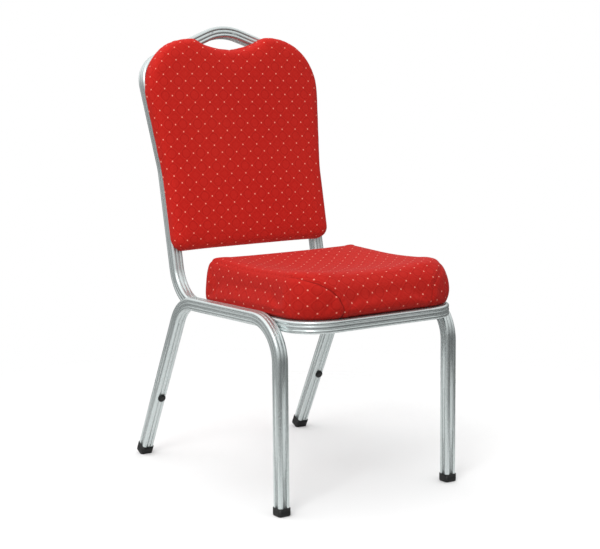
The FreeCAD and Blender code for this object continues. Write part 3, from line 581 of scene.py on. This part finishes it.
def finer(piece):
    """One subdivision, carried out, with smooth faces."""
    divide = piece.modifiers.new("finer", "SUBSURF")
    divide.levels = divide.render_levels = 1
    mesh = settled(piece)
    bpy.data.objects.remove(piece)
    mesh.shade_smooth()
    return mesh


def stretched(points, axis, low, high):
    """Stretch the points along one axis so that they just reach a low and a high value. Air and
    smoothing pull a form in at its ends, and this brings it back to its size."""
    values = points[:, axis]
    share = (values - values.min()) / (values.max() - values.min())
    points[:, axis] = low + share * (high - low)


def tilted_box(node, turn):
    """The lowest and highest corner of a CAD node along turned axes."""
    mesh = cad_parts[node].data
    points = points_of(mesh) @ np.array(turn.to_3x3())
    return points.min(0), points.max(0)


# %% [markdown]
# ## The seat
#
# The seat is a deep block that is dished for the sitter and turns over softly at the front. Its cloth
# is cut in two panels: one runs over the top and down the middle of the front, the other is a band
# round the sides. The seam between them follows the top edge, bends round each front corner and runs
# down to the frame. The cloth stands a little proud of its CAD solid behind and at the sides.

# %% The seat's outline and seam
SEAT_RAKE = -1.95
SEAT_TURN = Matrix.Rotation(math.radians(SEAT_RAKE), 4, "X")
seat_low, seat_high = tilted_box("seat_cover", SEAT_TURN)
HALF_WIDTH, FRONT, REAR, BASE = seat_high[0], seat_low[1], seat_high[1], seat_low[2]
FRONT_CORNER, REAR_CORNER, FORM_HEIGHT, TRIM = 0.082, 0.011, 0.074, 0.005
TOP_EDGE, SEAT_UNDER_EDGE, SEAT_HELD, SEAT_LIMIT = 0.020, 0.006, 0.004, 0.006
print("seat %.3f wide, %.3f deep, %.3f high" % tuple(seat_high - seat_low))


def seat_edge(points):
    """For each point: how far it is inside the outline, and how far along the outline it lies, counted
    from the middle of the front."""
    x, y = np.abs(points[:, 0]), points[:, 1]
    width, front, rear = HALF_WIDTH - TRIM, FRONT + TRIM, REAR - TRIM
    r, q = FRONT_CORNER - TRIM, REAR_CORNER - TRIM
    side_start = width - r + r * math.pi / 2
    side_end = side_start + (rear - q) - (front + r)
    inset = np.minimum.reduce([width - x, y - front, rear - y])
    choice = np.argmin([width - x, y - front, rear - y], axis=0)
    along = np.choose(choice, [side_start + y - (front + r), x, side_end + q * math.pi / 2 + (width - q - x)])
    cx, cy = x - (width - r), y - (front + r)
    corner = (cx > 0) & (cy < 0)
    inset = np.where(corner, r - np.hypot(cx, cy), inset)
    along = np.where(corner, width - r + r * np.arctan2(cx, -cy), along)
    cx, cy = x - (width - q), y - (rear - q)
    corner = (cx > 0) & (cy > 0)
    inset = np.where(corner, q - np.hypot(cx, cy), inset)
    along = np.where(corner, side_end + q * np.arctan2(cy, cx), along)
    return inset, along


SEAM = [(0.105, -0.02), (0.1045, 0.014), (0.107, 0.026), (0.114, 0.040), (0.128, 0.053), (0.152, 0.063),
        (0.195, 0.0700), (0.240, 0.0725), (0.300, 0.0745), (0.900, 0.0745)]


def seam_distance(along, height):
    """Distance to the seam on the unrolled cloth, more than 0 on the band's side."""
    best = np.full(len(along), 9.0)
    sign = np.ones(len(along))
    spot = np.stack([along, height], 1)
    for start, end in zip(SEAM, SEAM[1:]):
        a, run = np.array(start), np.array(end) - np.array(start)
        t = np.clip((spot - a) @ run / (run @ run), 0, 1)
        off = spot - a - t[:, None] * run
        far = np.hypot(off[:, 0], off[:, 1])
        side = run[1] * off[:, 0] - run[0] * off[:, 1]
        nearer = far < best - 1e-9
        best, sign = np.where(nearer, far, best), np.where(nearer, np.sign(side), sign)
    return best * sign


# %% The seat's form
def curve(places, heights):
    """A smooth curve through a few heights."""
    return np.polynomial.Polynomial.fit(places, heights, len(places) - 1)


edge_height = curve([0.008, 0.088, 0.168, 0.258, 0.369], [0.0890, 0.0895, 0.0870, 0.0890, 0.0915])
middle_height = curve([0.030, 0.088, 0.198, 0.288, 0.369], [0.0840, 0.0765, 0.0680, 0.0770, 0.0975])
FRONT_FALL, FALL_REACH = 0.010, 0.060
FRONT_ROLL, SIDE_ROLL, ROLL_MIDDLE = 0.009, 0.002, 0.42
REAR_PROUD, SIDE_PROUD = 0.011, 0.003


def eased(share):
    """0 to 1, slow at both ends."""
    share = np.clip(share, 0, 1)
    return share * share * (3 - 2 * share)


side, front, rear = HALF_WIDTH - TRIM, FRONT + TRIM, REAR - TRIM
outline = [(side, front, FRONT_CORNER - TRIM), (side, rear, REAR_CORNER - TRIM),
           (-side, rear, REAR_CORNER - TRIM), (-side, front, FRONT_CORNER - TRIM)]
seat = even_squares(block(outline, FORM_HEIGHT, TOP_EDGE, SEAT_UNDER_EDGE), "seat")
rest = points_of(seat.data)
inset, along = seat_edge(rest)
inset, height = np.maximum(inset, 0), rest[:, 2]

moved = blow_up(seat, height < SEAT_HELD, SEAT_LIMIT)
forward = np.clip(moved[:, 1] - FRONT, 0.008, 0.369)
dish = eased((1 - np.abs(moved[:, 0]) / HALF_WIDTH) / 0.85)
top = edge_height(forward) * (1 - dish) + middle_height(forward) * dish
top -= FRONT_FALL * np.clip(1 - (moved[:, 1] - FRONT) / FALL_REACH, 0, 1) ** 2
raised = eased((height / FORM_HEIGHT - 0.3) / 0.7)
moved[:, 2] += raised * (top - FORM_HEIGHT - 0.7 * (moved[:, 2] - height))

near_front = eased((0.110 - (rest[:, 1] - FRONT)) / 0.080)
roll = SIDE_ROLL + (FRONT_ROLL - SIDE_ROLL) * near_front
belly = 1 - ((height / FORM_HEIGHT - ROLL_MIDDLE) / ROLL_MIDDLE) ** 2
moved[:, :2] += normals_of(seat.data)[:, :2] * (roll * np.maximum(belly, -1.2))[:, None]
put_points(seat.data, moved)

# %% The seat's cloth, laid out flat
nothing = np.zeros(len(rest))
down = (top - moved[:, 2]) * np.where(rest[:, 1] < (FRONT + REAR) / 2, -1, 1)
unrolled = height + inset * (height > FORM_HEIGHT / 2)
# How tightly the seam is drawn sets the depth of its furrow and the strength of the painted shade along it;
# it is weaker on the right side.
drawn = np.clip(1 - (along - 0.15) / 0.10, 0.10, 1) * np.where(rest[:, 0] > 0, 0.3, 1)
carry(seat.data, "weave", np.stack([rest[:, 0], rest[:, 1] + down, nothing], 1))
carry(seat.data, "weave_band", np.stack([along, moved[:, 2] + inset, nothing], 1))
carry(seat.data, "seam", np.stack([seam_distance(along, unrolled), drawn, nothing], 1))
seat_mesh = finer(seat)

# %% The seat's seams
points, normals = points_of(seat_mesh), normals_of(seat_mesh)
seam, drawn = carried(seat_mesh, "seam")[:, :2].T
stretched(points, 0, -HALF_WIDTH - SIDE_PROUD, HALF_WIDTH + SIDE_PROUD)
stretched(points, 1, FRONT, REAR + REAR_PROUD)
pucker = 0.75 + 0.25 * np.sin(points[:, 0] * 410 + points[:, 1] * 370)
furrow = 0.0020 * np.exp(-(seam / 0.0030) ** 2) * pucker
swell = 0.0009 * np.exp(-((np.abs(seam) - 0.009) / 0.006) ** 2)
points += normals * ((0.4 + 0.6 * drawn) * (swell - furrow))[:, None]
low = np.clip((points[:, 2] - 0.010) / 0.015, 0, 1)
reach = HALF_WIDTH - 0.0004 + 0.005 * low
points[:, 0] = np.clip(points[:, 0], -reach, reach)
points[:, 2] = np.maximum(points[:, 2], 0.0002) + BASE
put_points(seat_mesh, points)
seat_mesh.transform(SEAT_TURN)
cushion = add_piece("seat_cushion", seat_mesh, shaded_seamed_cloth,
                    ["seat_cover", "seat_foam", "seat_board"])
print("seat cushion", len(seat_mesh.polygons), "faces")

# %% [markdown]
# ## The back
#
# The back is a flat padded panel with flared shoulders and a dip for the hand. Its cloth is one piece
# that rolls over every edge and is stapled behind, so it has no seam. Behind it a second, thinner panel
# fills the hoop and hides the staples.

# %% The back's outline
BACK_RAKE = -12.5
BACK_TURN = Matrix.Rotation(math.radians(BACK_RAKE), 4, "X")
back_low, back_high = tilted_box("back_cover", BACK_TURN)
print("back %.3f wide, %.3f thick, %.3f high" % tuple(back_high - back_low))
FLARE, HUMP_SLOPE = math.tan(math.radians(6.2)), math.tan(math.radians(30.6))
BOTTOM, CROWN = back_low[2], back_high[2]
WAIST, FLARE_START, SHOULDER, HUMP, DIP_SAG = 0.200, 0.1625, 0.121, 0.0857, 0.0100
FOOT_CORNER, WAIST_BEND, HUMP_CORNER, DIP_BEND, PANEL_HELD = 0.034, 0.200, 0.018, 0.145, 0.003


def back_outline(trim):
    """Half width by height above the bottom edge, moved inward by a trim."""
    height = CROWN - BOTTOM
    flare = WAIST + (height - FLARE_START) * FLARE
    half = [(WAIST - trim, trim, FOOT_CORNER - trim),
            (WAIST - trim, FLARE_START, WAIST_BEND),
            (flare - trim * (1 / math.cos(math.atan(FLARE)) + FLARE), height - trim, SHOULDER - trim),
            (HUMP, height - trim, HUMP_CORNER - trim)]
    dip = [(0.0, height - trim - HUMP * HUMP_SLOPE - DIP_SAG, DIP_BEND)]
    return half + dip + [(-x, y, radius) for x, y, radius in reversed(half)]


def turned(points, turn, pivot, shift):
    """The cloth's two numbers, for cloth laid a little askew: turned about a pivot and shifted."""
    x, y = (points - np.array(pivot)).T
    cos, sin = math.cos(math.radians(turn)), math.sin(math.radians(turn))
    return np.stack([x * cos - y * sin, x * sin + y * cos], 1) + np.array(pivot) - np.array(shift)


def padded_panel(name, corners, depth, edge, limit, crown, half_width, height, turn=0.0, shift=(0, 0)):
    """A panel on its back: outline, form, air, a crown and the cloth's two numbers."""
    panel = even_squares(block(corners, depth, edge, UNDER_EDGE), name)
    rest = points_of(panel.data)
    normal = normals_of(panel.data)[:, :2]
    normal /= np.maximum(np.linalg.norm(normal, axis=1, keepdims=True), 1e-6)
    over = np.maximum(depth - rest[:, 2], 0)[:, None]
    flat = turned(rest[:, :2] + normal * over, turn, (0, 0.8 * height), shift)
    carry(panel.data, "weave", np.concatenate([flat, np.zeros((len(rest), 1))], 1))
    moved = blow_up(panel, rest[:, 2] < PANEL_HELD, limit)
    x, y = moved[:, 0], moved[:, 1]
    middle = (y.max() + y.min()) / 2
    across = np.clip(1 - (x / x.max()) ** 2, 0, 1)
    bulge = across * np.clip(1 - ((y - middle) / (y.max() - middle)) ** 4, 0, 1)
    front = np.clip(rest[:, 2] / depth * 2 - 1, 0, 1)
    moved[:, 2] += front * (crown * bulge - 0.6 * (moved[:, 2] - rest[:, 2]))
    put_points(panel.data, moved)
    mesh = finer(panel)
    points = points_of(mesh)
    stretched(points, 0, -half_width, half_width)
    stretched(points, 1, 0.0, height)
    points[:, 2] = np.maximum(points[:, 2], 0.0002)
    put_points(mesh, points)
    return mesh


# %% The back pad
FACE_FORWARD = Matrix(((1, 0, 0, 0), (0, 0, -1, 0), (0, 1, 0, 0), (0, 0, 0, 1)))
PAD_HALF_WIDTH = back_high[0] - 0.003
pad_depth = back_high[1] - back_low[1]
CLOTH_TURN, CLOTH_SHIFT = 1.2, (0.0089, -0.0072)
pad_mesh = padded_panel("back", back_outline(0.006), pad_depth - 0.005, edge=0.016, limit=0.0035,
                        crown=0.008, half_width=PAD_HALF_WIDTH, height=CROWN - BOTTOM,
                        turn=CLOTH_TURN, shift=CLOTH_SHIFT)
pad_mesh.transform(BACK_TURN @ Matrix.Translation((0, back_high[1], BOTTOM)) @ FACE_FORWARD)
back_pad = add_piece("back_pad", pad_mesh, cloth, ["back_cover", "back_foam", "back_board"])
print("back pad", len(pad_mesh.polygons), "faces, %.3f wide" % (2 * PAD_HALF_WIDTH))

# %% The rear panel
panel_low, panel_high = tilted_box("rear_panel_cover", BACK_TURN)
HANDLE_SLOPE = math.tan(math.radians(21.4))
PANEL_WAIST, PANEL_TOP, PANEL_FLARE_START = 0.1665, 0.1093, 0.1696
PANEL_TRIM, CORNER_TRIM = 0.003, (0.004, 0.002)
panel_height = panel_high[2] - panel_low[2]
rise = panel_height + PANEL_TOP * HANDLE_SLOPE - PANEL_FLARE_START
corner_x = (PANEL_WAIST + rise * FLARE) / (1 + FLARE * HANDLE_SLOPE)
corner_y = panel_height + (PANEL_TOP - corner_x) * HANDLE_SLOPE
rear_half = [(PANEL_WAIST - PANEL_TRIM, PANEL_TRIM, 0.020),
             (PANEL_WAIST - PANEL_TRIM, PANEL_FLARE_START, WAIST_BEND),
             (corner_x - CORNER_TRIM[0], corner_y - CORNER_TRIM[1], 0.036),
             (PANEL_TOP, panel_height - PANEL_TRIM, 0.020)]
rear_corners = rear_half + [(-x, y, radius) for x, y, radius in reversed(rear_half)]
panel_depth = panel_high[1] - panel_low[1]
rear_mesh = padded_panel("rear", rear_corners, panel_depth - 0.002, edge=0.008, limit=0.0025,
                         crown=0.004, half_width=panel_high[0] - 0.002, height=panel_height)
FACE_BACK = Matrix(((-1, 0, 0, 0), (0, 0, 1, 0), (0, 1, 0, 0), (0, 0, 0, 1)))
rear_mesh.transform(BACK_TURN @ Matrix.Translation((0, panel_low[1], panel_low[2])) @ FACE_BACK)
rear_panel = add_piece("rear_panel", rear_mesh, cloth,
                       ["rear_panel_cover", "rear_panel_foam", "rear_panel_board"])
print("rear panel", len(rear_mesh.polygons), "faces")
